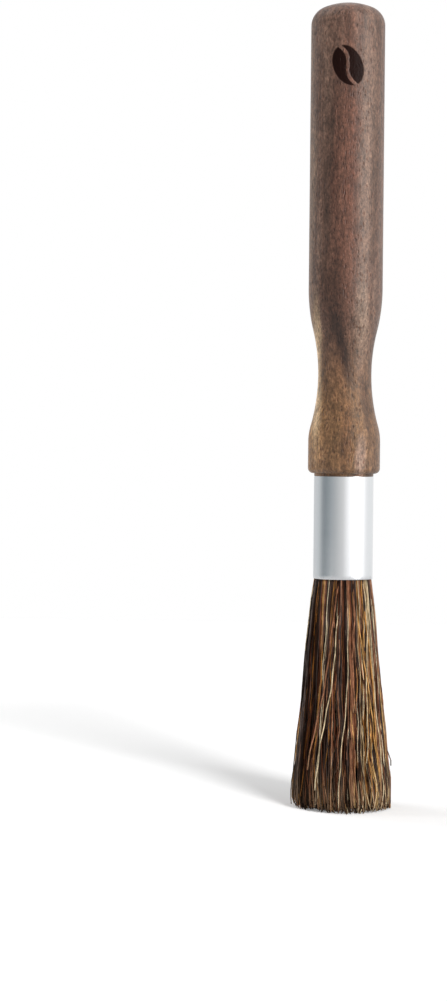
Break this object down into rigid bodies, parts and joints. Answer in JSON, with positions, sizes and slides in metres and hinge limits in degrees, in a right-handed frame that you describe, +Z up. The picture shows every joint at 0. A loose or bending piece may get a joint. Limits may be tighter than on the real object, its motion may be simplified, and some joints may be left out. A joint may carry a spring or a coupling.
{
  "type": "coffee grinder cleaning brush",
  "caption": "Upright cleaning brush for coffee grinders: turned walnut handle with a waist and collar, short aluminium ferrule and a flared tuft of mixed natural bristle.",
  "frame": {"origin": "middle of the bristle tips, on the surface that the brush stands on", "axes": "+Z up the handle, along the axis on which it was turned"},
  "size_m": [0.0247, 0.0246, 0.1955],
  "materials": {
    "walnut": "oiled satin",
    "ferrule_metal": "polished",
    "setting_resin": "gloss",
    "bristle_dark": "satin",
    "bristle_brown": "satin",
    "bristle_golden": "satin",
    "bristle_pale": "satin"
  },
  "bodies": {
    "root": {"handle": "walnut", "ferrule": "ferrule_metal", "resin_plug": "setting_resin", "bristle_core": "bristle_dark", "bristles_dark": "bristle_dark", "bristles_brown": "bristle_brown", "bristles_golden": "bristle_golden", "bristles_pale": "bristle_pale"}
  },
  "joints": []
}
